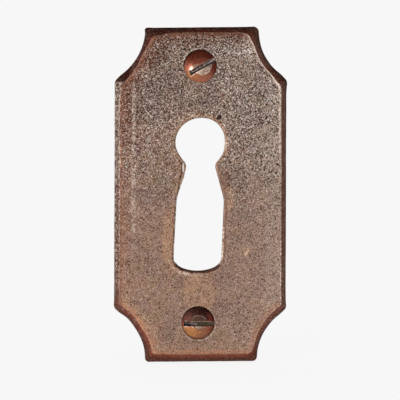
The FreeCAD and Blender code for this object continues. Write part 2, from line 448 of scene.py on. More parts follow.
neck = {side: (side * neck_half, neck_height) for side in (-1, 1)}
shoulder = {side: (side * shoulder_half, shoulder_height) for side in (-1, 1)}
foot = {side: (foot_drift + side * foot_half, foot_height) for side in (-1, 1)}
bow = arc_points(neck[1], (0, bow_height + bow_radius), neck[-1], 120)
sole = arc_points(foot[-1], (foot_drift, foot_height - foot_bulge), foot[1], 60)
keyhole = rounded_path(
    [
        np.concatenate([bow, [neck[-1]]]),
        straight_run(neck[-1], shoulder[-1]),
        straight_run(shoulder[-1], foot[-1]),
        np.concatenate([sole, [foot[1]]]),
        straight_run(foot[1], shoulder[1]),
        straight_run(shoulder[1], neck[1]),
    ],
    [0.85, 0.85, 1.0, 0.22, 0.22, 0.8],
)
keyhole = keyhole[::-1]
for place, spread, pull in (
    ((1.8, 13.0), 2.4, (0.2, 0.06)),
    ((4.37, 8.7), 1.5, (-0.14, 0.0)),
    ((-3.7, 6.4), 1.6, (0.22, 0.0)),
    ((3.6, 6.3), 1.3, (-0.12, 0.0)),
    ((-3.0, 3.0), 1.6, (0.2, 0.0)),
    ((-0.5, -13.4), 3.0, (0.0, 0.09)),
    ((-4.5, -12.0), 0.7, (0.16, 0.16)),
    ((3.6, -12.0), 0.7, (-0.12, 0.12)),
):
    keyhole = keyhole + near(keyhole, place, spread)[:, None] * np.array(pull)

plate_points = []
plate_faces = []
plate_marks = []


def lay_points(plan, depth, edge=9.0, keyhole_gap=9.0, seat_gap=9.0, runs=(0, 0, 0, 0)):
    """Adds points of the plate, given in plan with their depth and marks: the distances to
    the bevel's edge, the keyhole and the screws, and the finish of the nearest edge."""
    count = len(plan)
    gaps = [np.broadcast_to(np.asarray(v, float), count) for v in (edge, keyhole_gap, seat_gap)]
    depths = np.broadcast_to(np.asarray(depth, float), count)
    finishes = np.broadcast_to(np.asarray(runs, float), (count, 4))
    first = len(plate_points)
    for i in range(count):
        plate_points.append((plan[i][0], depths[i], plan[i][1]))
        plate_marks.append([gap[i] for gap in gaps] + list(finishes[i]))
    return np.arange(first, first + count)


def bridge(first, second):
    """Quads between two closed rows with the same number of points."""
    for i in range(len(first)):
        j = (i + 1) % len(first)
        plate_faces.append((first[i], first[j], second[j], second[i]))


def fill(outer, holes, step, depth):
    """Fills a flat region between closed rows of points with even triangles, on a
    staggered grid of new points."""
    loops = [outer] + holes
    plans = [np.array([(plate_points[i][0], plate_points[i][2]) for i in loop]) for loop in loops]
    border = np.concatenate(plans)
    owner = np.concatenate(loops)
    lookup = kdtree.KDTree(len(border))
    for i, p in enumerate(border):
        lookup.insert((p[0], p[1], 0), i)
    lookup.balance()
    low, high = border.min(0), border.max(0)
    draw = np.random.default_rng(11)
    new = []
    row = 0
    z = low[1]
    while z < high[1]:
        for x in np.arange(low[0] + (row % 2) * step / 2, high[0], step):
            p = (x + draw.uniform(-0.12, 0.12) * step, z + draw.uniform(-0.12, 0.12) * step)
            if lookup.find((p[0], p[1], 0))[2] > 0.62 * step and inside(p, plans):
                new.append(p)
        z += step * math.sqrt(3) / 2
        row += 1
    edges = []
    first = 0
    for plan in plans:
        count = len(plan)
        edges += [(first + i, first + (i + 1) % count) for i in range(count)]
        first += count
    flat = [Vector(p) for p in border] + [Vector(p) for p in new]
    made = delaunay_2d_cdt(flat, edges, [], 2, 1e-5)
    places, triangles, sources = made[0], made[2], made[3]
    added = lay_points(np.array(new), depth)
    numbers = []
    for source in sources:
        k = source[0]
        numbers.append(owner[k] if k < len(border) else added[k - len(border)])
    for triangle in triangles:
        middle = sum((places[k] for k in triangle), Vector((0, 0))) / 3
        if inside(middle, plans):
            plate_faces.append(tuple(numbers[k] for k in triangle))
    return added


def inside(point, plans):
    """Whether a point lies within the first outline and outside the others."""
    return all(crossings(point, plan) % 2 == (0 if i else 1) for i, plan in enumerate(plans))


def crossings(point, plan):
    """How often a line to the right from a point meets a closed outline."""
    x, z = point[0], point[1]
    other = np.roll(plan, -1, 0)
    spans = (plan[:, 1] > z) != (other[:, 1] > z)
    a, b = plan[spans], other[spans]
    meets = a[:, 0] + (z - a[:, 1]) * (b[:, 0] - a[:, 0]) / (b[:, 1] - a[:, 1])
    return int(np.count_nonzero(x < meets))


# Order of the runs: top right scallop, top, top left scallop, left side, bottom left
# scallop, bottom, bottom right scallop, right side.
edge_finish = np.stack(
    [
        along_outline((1.0, 0.05, 0.15, 0.12, 0.1, 0.05, 0.25, 0.7), 10),
        along_outline((0.97, 1.0, 0.95, 0.14, 0.95, 0.97, 0.97, 0.97), 6),
        along_outline((0.05, 1.0, 1.0, 0.25, 0.85, 0.6, 0.5, 0.1), 10),
        # Redness: partly the bevel's patina, partly painted shade, lowest along the top and
        # highest below
        along_outline((0.45, 0.1, 0.25, 0.4, 0.72, 0.9, 0.7, 0.6), 10),
    ],
    1,
)
# The bevel on the left is bare grey above and browner towards its foot
browner_below = 0.55 * np.clip((8.0 - rim[:, 1]) / 26.0, 0, 1)
browner_below += 0.4 * np.clip((-15.5 - rim[:, 1]) / 2.5, 0, 1)
edge_finish[:, 1] = np.maximum(edge_finish[:, 1], browner_below)

# The rows of the plate's section, from the hollow's ceiling over the rim to the face
rows = []
rows.append(lay_points(hollow_ceiling, ceiling_depth))
rows.append(lay_points((hollow_ceiling + hollow_mouth) / 2, ceiling_depth / 2))
rows.append(lay_points(hollow_mouth + inward(hollow_mouth) * 0.06, -0.06))
rows.append(lay_points(hollow_mouth - inward(hollow_mouth) * 0.06, 0.0))
rows.append(lay_points(rim + inward(rim) * 0.08, 0.0))
bevel_run = np.linalg.norm(brim - rim, axis=1)


def section_point(across, depth):
    """Part of the way from the rim to the bevel's edge, at one depth, with its marks."""
    plan = rim + (brim - rim) * across
    return lay_points(plan, depth, edge=-(1 - across) * bevel_run, runs=edge_finish)


for depth in (-0.08, -0.35, -0.6):
    rows.append(section_point(0.0, depth))
brow_start, brow_end = -0.82, 0.16
for t in np.linspace(0, 1, 5):
    over = brow_end * t**2
    corner = lip_depth + (face_depth - lip_depth) * brow_end
    depth = (1 - t) ** 2 * brow_start + 2 * t * (1 - t) * lip_depth + t**2 * corner
    rows.append(section_point(over, depth))
for across in (0.34, 0.52, 0.7):
    rows.append(section_point(across, lip_depth + (face_depth - lip_depth) * across))
edge_start, edge_reach = 0.84, 0.22
face_in = inward(brim, 5)
for t in np.linspace(0, 1, 7):
    low = rim + (brim - rim) * edge_start
    plan = (1 - t) ** 2 * low + 2 * t * (1 - t) * brim + t**2 * (brim + face_in * edge_reach)
    low_depth = lip_depth + (face_depth - lip_depth) * edge_start
    depth = (1 - t) ** 2 * low_depth + (1 - (1 - t) ** 2) * face_depth
    gap = -(1 - t) ** 2 * (1 - edge_start) * bevel_run + t**2 * edge_reach
    rows.append(lay_points(plan, depth, edge=gap, runs=edge_finish))
for first, second in zip(rows, rows[1:]):
    bridge(first, second)

# The keyhole's rows, from the rounded edge on the face to the hollow behind
keyhole_in = -inward(keyhole)
if np.dot(keyhole_in[0], keyhole[0] - np.array((0, bow_height))) < 0:
    keyhole_in = -keyhole_in
keyhole_round = 0.3
keyhole_rows = []
for angle in np.radians(np.linspace(90, 0, 6)):
    keyhole_rows.append(
        lay_points(
            keyhole + keyhole_in * keyhole_round * (1 - math.cos(angle)),
            face_depth + keyhole_round * (1 - math.sin(angle)),
            keyhole_gap=keyhole_round * (1 - math.cos(angle)) - keyhole_round,
        )
    )
wall_middle = (face_depth + keyhole_round + ceiling_depth) / 2
keyhole_rows.append(lay_points(keyhole, wall_middle, keyhole_gap=-0.5))
keyhole_rows.append(lay_points(keyhole, ceiling_depth, keyhole_gap=-0.8))
for first, second in zip(keyhole_rows, keyhole_rows[1:]):
    bridge(first, second)

# The screw seats: a countersunk mouth, a hole, and the dimple that carries it behind
seat_fronts, seat_backs = [], []
seat_turn = np.linspace(0, 2 * math.pi, 72, endpoint=False)
circle = np.stack([np.cos(seat_turn), np.sin(seat_turn)], 1)
for centre in seat_centres:
    seat_rows = []
    for radius, depth, gap in (
        (2.92, face_depth, 0.06),
        (2.87, face_depth + 0.015, 0.0),
        (2.84, face_depth + 0.05, -0.1),
        (2.83, -2.08, -0.2),
        (2.39, -1.574, -1.0),
        (1.95, -1.068, -1.0),
        (1.95, -0.6, -1.0),
        (1.95, -0.15, -1.0),
        (2.65, -0.15, 9.0),
        (2.94, -0.675, 9.0),
        (3.226, ceiling_depth, 9.0),
    ):
        seat_rows.append(lay_points(np.array(centre) + circle * radius, depth, seat_gap=gap))
    for first, second in zip(seat_rows, seat_rows[1:]):
        bridge(first, second)
    seat_fronts.append(seat_rows[0])
    seat_backs.append(seat_rows[-1])

face_new = fill(rows[-1], [keyhole_rows[0]] + seat_fronts, grid_step, face_depth)
fill(rows[0], [keyhole_rows[-1]] + seat_backs, back_step, ceiling_depth)


def distance_to(plan, loop):
    """How far points are from a closed outline, and the number of its nearest point."""
    lookup = kdtree.KDTree(len(loop))
    for i, p in enumerate(loop):
        lookup.insert((p[0], p[1], 0), i)
    lookup.balance()
    found = [lookup.find((p[0], p[1], 0)) for p in plan]
    nearest = np.array([f[1] for f in found])
    best = np.full(len(plan), 1e9)
    for other in (-1, 1):
        a, b = loop[nearest], loop[(nearest + other) % len(loop)]
        along = ((plan - a) * (b - a)).sum(1) / ((b - a) ** 2).sum(1)
        foot_point = a + (b - a) * np.clip(along, 0, 1)[:, None]
        best = np.minimum(best, np.linalg.norm(plan - foot_point, axis=1))
    return best, nearest


plate_points = np.array(plate_points)
plate_marks = np.array(plate_marks)
plan = plate_points[face_new][:, [0, 2]]
edge_gap, nearest = distance_to(plan, brim)
plate_marks[face_new, 0] = edge_gap
plate_marks[face_new, 3:] = edge_finish[nearest]
plate_marks[face_new, 1] = distance_to(plan, keyhole + keyhole_in * keyhole_round)[0]
for centre in seat_centres:
    away = np.linalg.norm(plan - np.array(centre), axis=1) - seat_radius
    plate_marks[face_new, 2] = np.minimum(plate_marks[face_new, 2], away)

# The face isn't quite flat: it falls off a little towards the bevel and rises and sinks
# in soft swells, and the ends of the plate run slightly out of square.
x, z = plate_points[:, 0], plate_points[:, 2]
front = plate_points[:, 1] < face_depth + 0.4
fall = np.clip(plate_marks[:, 0], 0, 9)
shape = 0.05 * np.exp(-((fall / 1.3) ** 2))
shape += 0.03 * np.exp(-((np.clip(plate_marks[:, 1], 0, 9) / 0.9) ** 2))
shape += 0.02 * np.sin(x / 2.1 + 0.6 * np.sin(z / 6.0)) * np.exp(-((fall - 3.0) / 3.0) ** 2)
shape += 0.012 * np.sin(z / 3.3 + x / 5.0 + 1.0)
shape *= np.clip((plate_marks[:, 2] + 0.1) / 1.2, 0, 1)
plate_points[:, 1] += np.where(front, shape, 0)
end_slope = 0.012
plate_points[:, 2] += end_slope * x * np.clip((np.abs(z) - 24.5) / 4.0, 0, 1)


def write_mesh(name, points, faces):
    """A mesh in metres, closed and facing outwards."""
    mesh = bpy.data.meshes.new(name)
    corners = [[int(k) for k in face] for face in faces]
    mesh.from_pydata((np.asarray(points) / 1000).tolist(), [], corners)
    work = bmesh.new()
    work.from_mesh(mesh)
    bmesh.ops.recalc_face_normals(work, faces=work.faces)
    work.to_mesh(mesh)
    work.free()
    mesh.shade_smooth()
    return mesh


plate_mesh = write_mesh("escutcheon_plate_worn", plate_points, plate_faces)
mark_names = ("edge_gap", "keyhole_gap", "seat_gap")
mark_names += ("edge_wear", "browning", "coppering", "redness_and_shade")
for column, mark in enumerate(mark_names):
    layer = plate_mesh.attributes.new(mark, "FLOAT", "POINT")
    layer.data.foreach_set("value", plate_marks[:, column].astype(np.float32))
plate = bpy.data.objects.new("escutcheon_plate_worn", plate_mesh)
bpy.context.collection.objects.link(plate)


def blend(factor, first, second, kind="MIX"):
    """Blends two colours by a factor."""
    inputs = {0: factor, 6: first, 7: second}
    return node("ShaderNodeMix", inputs, data_type="RGBA", blend_type=kind)[2]


def ramp(value, low, high, start=0.0, end=1.0):
    """Turns a range of values into another, with soft ends."""
    made = node(
        "ShaderNodeMapRange",
        {"Value": value, "From Min": low, "From Max": high, "To Min": start, "To Max": end},
        interpolation_type="SMOOTHSTEP",
    )
    return made[0]


def new_group(name, inputs, outputs):
    """An empty shader node group with named number inputs and outputs."""
    group = bpy.data.node_groups.new(name, "ShaderNodeTree")
    for label, value in inputs.items():
        socket = group.interface.new_socket(label, in_out="INPUT", socket_type="NodeSocketFloat")
        socket.default_value = value
    for label in outputs:
        group.interface.new_socket(label, in_out="OUTPUT", socket_type="NodeSocketFloat")
    return group


def speckle(size, seed, detail=2.0):
    """Fine noise whose grains are about the given size in millimetres."""
    inputs = {
        "Vector": node("ShaderNodeTexCoord")["Object"],
        "W": seed,
        "Scale": calc("DIVIDE", 1000.0, size),
        "Detail": detail,
        "Roughness": 0.6,
    }
    return node("ShaderNodeTexNoise", inputs, noise_dimensions="4D")["Fac"]


def between_soft(value, low, high, softness):
    """1 between two values and 0 outside them, with soft ends."""
    rise = ramp(value, low - softness, low + softness)
    return rise * ramp(value, high - softness, high + softness, 1, 0)


# Shared effect: sandy grain, as specks of uneven tone and hue, the darkest of them pitted
grain = tree = new_group(
    "sandy grain", {"Grain Size": 0.3, "Seed": 0.0}, ("Tone", "Hue", "Height")
)
given = node("NodeGroupInput")
seed_shift = node("ShaderNodeCombineXYZ", {"Y": given["Seed"] * 0.01})
coordinates = node(
    "ShaderNodeVectorMath",
    {0: node("ShaderNodeTexCoord")["Object"], 1: seed_shift[0]},
    operation="ADD",
)
specks = node(
    "ShaderNodeTexVoronoi", {"Vector": coordinates[0], "Scale": 1000.0 / given["Grain Size"]}
)
chances = node("ShaderNodeSeparateColor", {0: specks["Color"]})
pits = ramp(chances[0], 0.3, 0.18)
node(
    "NodeGroupOutput",
    {"Tone": chances[0], "Hue": chances[1], "Height": chances[0] - pits * 0.5},
)

# Shared effect: an edge rubbed bright, broken up along its length
wear = tree = new_group(
    "worn edge",
    {"Distance": 0.0, "Reach": 0.2, "Break-up Size": 0.4, "Gaps": 0.15, "Strength": 1.0},
    ("Mask",),
)
given = node("NodeGroupInput")
band = ramp(abs(given["Distance"]) / given["Reach"], 0.25, 1, 1, 0)
broken = ramp(speckle(given["Break-up Size"], 31.0), 0.4, 0.56, given["Gaps"], 1)
node("NodeGroupOutput", {"Mask": calc("MULTIPLY", band * broken, given["Strength"], clamp=True)})


def use_group(group, inputs):
    """Places a shared effect with this finish's own values."""
    return node("ShaderNodeGroup", inputs, node_tree=group)


def mark_value(name):
    """A mark of the mesh, such as the distance from an edge."""
    return node("ShaderNodeAttribute", attribute_name=name)["Fac"]


def place_mm():
    """The place on the piece in millimetres, as three values."""
    metres = node("ShaderNodeTexCoord")["Object"]
    scaled = node("ShaderNodeVectorMath", {0: metres, "Scale": 1000.0}, operation="SCALE")
    return node("ShaderNodeSeparateXYZ", {0: scaled[0]})


def spot(right, up, middle, across, high):
    """1 in the middle of an oval mark, falling to 0 at its rim; all in millimetres."""
    run = (right - middle[0]) / across
    rise = (up - middle[1]) / high
    away = run * run + rise * rise
    return ramp(away, 0.3, 1, 1, 0)


grain_height = 0.00007
sandy_brown = srgb(115, 92, 83)
pink_copper = srgb(152, 118, 100)
lilac_tint = (1.02, 0.95, 1.3, 1)
olive_tint = (0.98, 1.1, 0.8, 1)
sheen_lift_tint = (1.25, 1.25, 1.25, 1)
dull_tint = (0.7, 0.6, 0.57, 1)
dot_white = (0.9, 0.86, 0.8, 1)
bead_brown = srgb(90, 50, 36)
speck_dark = srgb(54, 34, 28)
speck_light = srgb(230, 208, 192)
rust_brown = srgb(128, 80, 62)
warm_tan = srgb(180, 138, 108)
bare_copper = srgb(190, 128, 94)
rubbed_bright = srgb(248, 222, 206)
scuff_gold = srgb(190, 162, 118)
scuff_pink = srgb(236, 196, 166)
maroon_black = srgb(54, 17, 9)
red_brown = srgb(126, 57, 33)
umber = srgb(136, 102, 86)
umber_dark = srgb(78, 60, 54)
reflection_grey = srgb(104, 82, 78)
bare_grey = srgb(156, 142, 130)
soot = srgb(40, 26, 22)
back_brown = srgb(96, 70, 58)
back_stain = srgb(70, 58, 46)

finish = bpy.data.materials.new("aged copper plate")
finish.use_nodes = True
tree = finish.node_tree
tree.nodes.clear()
edge_mark, keyhole_mark, seat_mark = map(mark_value, mark_names[:3])
wear_mark, brown_mark, copper_mark, red_and_shade_mark = map(mark_value, mark_names[3:])
right_of, depth_of, up_of = place_mm()

# The sand's own colours: browner and duller at the left, warmer and smoother below
sand = use_group(grain, {"Grain Size": 0.13, "Seed": 2.0})
drift = ramp(speckle(3.4, 3.0), 0.38, 0.62)
lower_half = ramp(up_of, 14, -14)
warm = calc("ADD", drift * 0.5, lower_half * 0.5, clamp=True)
ground = blend(warm, sandy_brown, pink_copper)
blush = speckle(1.6, 9.0, 3.0)
lilac = ramp(blush, 0.5, 0.68) * ramp(lower_half, 0, 1, 0.9, 0.45)
ground = blend(lilac, ground, lilac_tint, "MULTIPLY")
olive = ramp(blush, 0.48, 0.32) * ramp(lower_half, 0, 1, 0.9, 0.45)
ground = blend(olive, ground, olive_tint, "MULTIPLY")
reddish = ramp(speckle(1.4, 7.0), 0.52, 0.66) * 0.3
ground = blend(reddish, ground, rust_brown)
right_lift = ramp(right_of, -2, 14) * ramp(up_of, -8, 12, 0.6, 1)
ground = blend(right_lift * 0.16, ground, speck_light)
left_shade = ramp(right_of, -1, -9) * ramp(up_of, 9, 17)
ground = blend(left_shade * 0.4, ground, umber_dark)

# Marks of use and of the pressing, each in its place on the face, and painted sheen: a highlight
# streak down the left and pale bands at the right
streaks = ramp(speckle(1.2, 17.0), 0.36, 0.58)
strip = between_soft(right_of, -14, -12.1, 0.25) * between_soft(up_of, -18, 20.5, 2)
strip = strip * ramp(up_of, 8, 13, 0.42, 0.8) * ramp(streaks, 0, 1, 0.5, 1)
ground = blend(strip, ground, rust_brown)
# Painted highlight: a pale streak down the left of the face
streak_highlight = between_soft(right_of, -11.9, -11.25, 0.2) * between_soft(up_of, -9, 24.5, 2.5)
ground = blend(streak_highlight * streaks * ramp(up_of, 4, 10, 0.4, 0.65), ground, speck_light)
# Painted sheen: a pale band down the right and a pale upper right corner
band_sheen = between_soft(right_of, 11.3, 13.7, 0.6) * between_soft(up_of, -19, 20, 2.5)
band_sheen = band_sheen * ramp(up_of, 2, 8, 0.72, 1)
band_sheen = calc("MAXIMUM", band_sheen, ramp(right_of, 13, 13.5) * ramp(edge_mark, 1.4, 0.3))
corner_sheen = spot(right_of, up_of, (9.2, 26.4), 2.6, 4.2)
band_sheen = calc("MAXIMUM", band_sheen, corner_sheen)
ground = blend(band_sheen * 0.2, ground, speck_light)
near_edge = ramp(edge_mark, 3, 0.9) * copper_mark
upper = ramp(up_of, 6, 16)
upper_left = upper * ramp(right_of, 6, -8, 0.5, 1)
ground = blend(near_edge * upper_left * ramp(streaks, 0, 1, 0.6, 1), ground, rust_brown)
below = ramp(up_of, -14, -20)
ground = blend(near_edge * below * 0.42, ground, warm_tan)

# The keyhole's edge is rubbed to warm copper in patches, which spread beside the slot and
# down to the lower screw
patches = ramp(speckle(2.0, 12.0), 0.38, 0.58, 0.3, 1)
halo_reach = ramp(right_of, -2, 3.5, 1.9, 0.9)
halo = ramp(keyhole_mark / halo_reach, 1, 0) * patches
below_slot = spot(right_of, up_of, (-0.2, -16.6), 3.6, 4.6) * patches
for middle, across, high in (((4.9, -0.7), 1.1, 2.8), ((-5.4, -8.0), 1.5, 5.6)):
    below_slot = calc("MAXIMUM", below_slot, spot(right_of, up_of, middle, across, high))
halo = calc("MAXIMUM", halo, below_slot)
ground = blend(halo * 0.7, ground, warm_tan)

# Light and dark grains, strongest in the upper half
contrast = ramp(up_of, -9, 13, 0.42, 1)
bright_side = ramp(right_of, -2, 10, 1, 1.3)
contrast = contrast * bright_side * ramp(up_of, 22, 26, 1, 1.3)
dark_grains = ramp(sand["Tone"], 0.55, 0.04, 0, 0.9)
ground = blend(dark_grains * contrast, ground, speck_dark)
light_grains = ramp(sand["Tone"], 0.48, 0.97, 0, 0.56)
ground = blend(light_grains * contrast, ground, speck_light)
sparse = use_group(grain, {"Grain Size": 0.2, "Seed": 8.0})
black_pits = ramp(sparse["Hue"], 0.042, 0.03) * ramp(contrast, 0.3, 1, 0.75, 0.85)
ground = blend(black_pits, ground, soot)
white_grains = use_group(grain, {"Grain Size": 0.15, "Seed": 14.0})
white_dots = ramp(white_grains["Hue"], 0.95, 0.96) * ramp(contrast, 0.4, 1.3, 0.15, 0.9)
more_dots = ramp(white_grains["Hue"], 0.905, 0.915) * ramp(contrast, 1.1, 1.4, 0, 0.75)
white_dots = calc("MAXIMUM", white_dots, more_dots)
ground = blend(white_dots, ground, dot_white)
more_pits = ramp(white_grains["Hue"], 0.07, 0.06) * ramp(contrast, 1.1, 1.35, 0, 0.85)
ground = blend(more_pits, ground, soot)
# Painted sheen lightens the upper right corner
ground = blend(corner_sheen, ground, sheen_lift_tint, "MULTIPLY")

# Duller along the top and the upper left edge, and at the right of the keyhole's neck
dull_places = (
    ramp(up_of, 24.5, 27) * ramp(right_of, 9.5, 7),
    ramp(right_of, -9.5, -12) * ramp(up_of, 6, 10) * 0.85,
    spot(right_of, up_of, (-9.4, 25.2), 5, 4.2),
    spot(right_of, up_of, (4.3, 2), 1.4, 2.6) * 0.8,
)
dull = dull_places[0]
for place in dull_places[1:]:
    dull = calc("MAXIMUM", dull, place)
dull = dull * ramp(streak_highlight, 0, 1, 1, 0.15)
ground = blend(dull, ground, dull_tint, "MULTIPLY")

# The bevel is browned; painted shade makes it almost black along the top and painted light makes
# it redder below
softness = calc("SUBTRACT", red_and_shade_mark, 0.5, clamp=True) * 0.7
bevel_top = 0.06 + softness
bevel_foot = -0.12 - softness
on_bevel = ramp(edge_mark, bevel_top, bevel_foot)
brown_share = on_bevel * brown_mark
patch = ramp(speckle(0.9, 5.0), 0.35, 0.65)
bevel_red_and_shade = calc("ADD", red_and_shade_mark, (patch - 0.5) * 0.3, clamp=True)
bevel_tone = blend(bevel_red_and_shade, maroon_black, red_brown)
right_side = ramp(right_of, 8.5, 10.5) * ramp(up_of, -24, -16)
off_tip = abs(up_of - 20.8)
right_side = right_side * ramp(off_tip, 0.8, 3.5, 0.15, 1)
bevel_tone = blend(right_side * 0.5, bevel_tone, umber)
ground = blend(brown_share, ground, bevel_tone)
# Painted shade on the outer lip, where the bevel turns down to the wood
lip = ramp(edge_mark, -0.6, -0.85)
ground = blend(lip * brown_mark * 0.6, ground, soot)
fringe = ramp(edge_mark, 1, 0.3) * ramp(edge_mark, -0.15, 0.05) * copper_mark
fringe = fringe * ramp(sand["Tone"], 0.2, 0.6, 0.35, 1)
fringe_tone = blend(upper, bare_copper, rust_brown)
fringe_tone = blend(red_and_shade_mark * upper, fringe_tone, bare_copper)
ground = blend(fringe * ramp(streaks, 0, 1, 0.45, 0.9), ground, fringe_tone)
at_left = ramp(right_of, -13.2, -13.6)
upper_right = ramp(right_of, 12, 13) * ramp(up_of, 3, 9)
line_place = 0.05 + upper_right * 0.22
line_place = line_place - at_left * 0.17

# The bevel on the left is nearly bare towards the top and coarsely specked, and all
# bevels have fine specks. The edge is rubbed bright, less in the middle of the right side.
left_bevel = at_left * on_bevel * ramp(up_of, -15, 12, 0, 0.48)
ground = blend(left_bevel, ground, bare_grey)
bevel_sand = use_group(grain, {"Grain Size": 0.19, "Seed": 5.0})
specked = on_bevel * ramp(abs(up_of), 21, 26.5, 0.8, 0.4)
ground = blend(specked * ramp(bevel_sand["Tone"], 0.4, 0, 0, 0.6), ground, speck_dark)
ground = blend(specked * ramp(bevel_sand["Tone"], 0.7, 1, 0, 0.24), ground, speck_light)
coarse_specks = at_left * ramp(edge_mark, 0.1, 0) * ramp(up_of, -17.5, -14, 0.2, 1)
left_sand = use_group(grain, {"Grain Size": 0.24, "Seed": 21.0})
dark_specks = coarse_specks * ramp(left_sand["Hue"], 0.4, 0.28, 0, 0.82)
ground = blend(dark_specks, ground, speck_dark)
light_specks = coarse_specks * ramp(left_sand["Hue"], 0.66, 0.78, 0, 0.58)
ground = blend(light_specks, ground, speck_light)
rubbed = use_group(
    wear,
    {
        "Distance": edge_mark - line_place,
        "Reach": ramp(upper_right, 0, 1, 0.17, 0.3),
        "Break-up Size": 0.3,
        "Gaps": ramp(wear_mark, 0.6, 1, 0, 0.6),
        "Strength": wear_mark,
    },
)["Mask"]
quiet = ramp(right_of, 12, 13) * between_soft(up_of, -9, 5, 3) * 0.55
quiet = calc("MAXIMUM", at_left * 0.36, quiet)
rubbed = rubbed * (1.0 - quiet)
beaded = ramp(left_sand["Hue"], 0.45, 0.6, 0.3, 1.9) - 1.0
beaded = beaded * ramp(right_of, 12, 13) * ramp(up_of, 9, 4, 0.3, 1)
rubbed = calc("MULTIPLY", rubbed, 1.0 + beaded, clamp=True)
ground = blend(rubbed, ground, rubbed_bright)

# On the left the edge is a row of dark and coppery beads, black at the upper tip
beads = ramp(bevel_sand["Tone"], 0.55, 0.3)
beads = beads * between_soft(edge_mark, -0.4, -0.08, 0.08) * ramp(up_of, 20, 17)
both_sides = calc("MAXIMUM", at_left, ramp(right_of, 13, 13.4) * ramp(up_of, 6, -4, 0.3, 0.8))
ground = blend(beads * both_sides * 0.65, ground, speck_dark)
beads_pale = ramp(bevel_sand["Tone"], 0.5, 0.75)
beads_pale = beads_pale * between_soft(edge_mark, -0.22, 0.06, 0.08) * ramp(up_of, 20, 17)
beads_pale = beads_pale * at_left * ramp(up_of, -17, -14)
ground = blend(beads_pale * 0.38, ground, rubbed_bright)
tarnished = at_left * ramp(edge_mark, 0.6, 0.25) * ramp(up_of, 14, -10, 0.1, 0.38)
ground = blend(tarnished, ground, bead_brown)
dark_tip = on_bevel * ramp(right_of, -12, -12.6) * ramp(up_of, 19.2, 19.7)
ground = blend(dark_tip * 0.86, ground, maroon_black)

# Pale worn rings around the screws, grime and painted shadow in the seat mouths, and painted shade
# on the keyhole's inner wall
seat_halo = between_soft(seat_mark, 0.1, 0.3, 0.08) * ramp(speckle(0.5, 37.0), 0.44, 0.56)
halo_side = calc("MAXIMUM", ramp(right_of, 1, -1.5), ramp(up_of, -20, -24))
ground = blend(seat_halo * halo_side * 0.34, ground, speck_light)
# Grime and painted shadow in the gap between the seat and the head
seat_grime_and_shadow = ramp(seat_mark, 0.06, -0.05) * ramp(speckle(0.6, 38.0), 0.4, 0.6, 0.3, 0.8)
ground = blend(seat_grime_and_shadow, ground, maroon_black)
ground = blend(ramp(keyhole_mark, 0.16, 0.02) * 0.3, ground, warm_tan)
# Painted shade down the keyhole's inner wall
wall = ramp(keyhole_mark, -0.3, -0.5)
ground = blend(wall * 0.62, ground, soot)

# The slot's edges: a line of painted shade and pale crumbs down the left, a grey painted
# reflection on the wall at the right, a painted glint at the neck and painted shade at the
# foot, with crumbs spilt below it. A black pit, a dash and one scuff are on the face.
crumbs = use_group(grain, {"Grain Size": 0.26, "Seed": 17.0})["Tone"]
at_slot = ramp(up_of, 6.6, 5.2) * ramp(up_of, -13.6, -12.6)
line_mark = keyhole_mark - ramp(up_of, 0.5, 3, 0, 0.45)
# Painted shade along the left edge of the slot, which faces away from the lamp
left_edge_shade = between_soft(line_mark, -0.34, 0.02, 0.1) * ramp(right_of, 0, -1) * at_slot
left_edge_shade = left_edge_shade * ramp(crumbs, 0.1, 0.6, 0.3, 0.8) * ramp(up_of, -3, 2, 0.7, 1)
ground = blend(left_edge_shade, ground, maroon_black)
left_dots = between_soft(keyhole_mark, -0.9, -0.16, 0.06) * ramp(right_of, 0, -1) * at_slot
right_dots = between_soft(keyhole_mark, -0.9, -0.06, 0.06) * ramp(right_of, 1, 2) * at_slot
right_dots = right_dots * ramp(up_of, -4.5, -7.5) * 0.8
# Painted reflection: the rounded edge of the right wall is painted grey
right_wall_reflection = between_soft(keyhole_mark, -0.5, 0.34, 0.12) * ramp(right_of, 1.5, 2.5)
right_wall_reflection = right_wall_reflection * ramp(crumbs, 0, 1, 0.7, 1)
right_wall_reflection = right_wall_reflection * ramp(up_of, 4.4, 3) * ramp(up_of, -13, -11.5)
ground = blend(right_wall_reflection * 0.6, ground, reflection_grey)
edge_dots = calc("MAXIMUM", left_dots, right_dots)
ground = blend(edge_dots * ramp(crumbs, 0.56, 0.4), ground, speck_light)
foot_shade = between_soft(keyhole_mark, -0.5, 0.22, 0.08) * ramp(up_of, -11.9, -12.5)
ground = blend(foot_shade * 0.85, ground, maroon_black)
spill = between_soft(keyhole_mark, 0.1, 0.75, 0.15) * ramp(up_of, -12.3, -12.9)
spill = spill * ramp(right_of, 1, -1) * ramp(crumbs, 0.55, 0.3, 0, 0.6)
ground = blend(spill, ground, speck_light)
glint = spot(right_of, up_of, (-2.98, 4.6), 0.16, 1)
ground = blend(glint * 0.85, ground, dot_white)
for middle, across, high, share, tone in (
    ((3.24, 13.3), 0.52, 0.48, 0.9, soot),
    ((6.05, -23.85), 0.4, 0.14, 0.8, soot),
    ((8.1, -9.6), 0.9, 1.0, 0.22, scuff_gold),
    ((7.85, -10.4), 0.24, 0.34, 0.6, scuff_pink),
    ((8.1, -10.05), 0.24, 0.34, 0.6, scuff_pink),
    ((8.35, -9.7), 0.2, 0.3, 0.5, scuff_pink),
):
    there = spot(right_of, up_of, middle, across, high)
    ground = blend(there * share, ground, tone)

# The hollow back is smoother and duller
hidden = ramp(depth_of, -1.4, -1.2) * ramp(edge_mark, 1, 2)
back_tone = blend(ramp(speckle(4.0, 41.0), 0.42, 0.6), back_brown, back_stain)
ground = blend(hidden * 0.85, ground, back_tone)

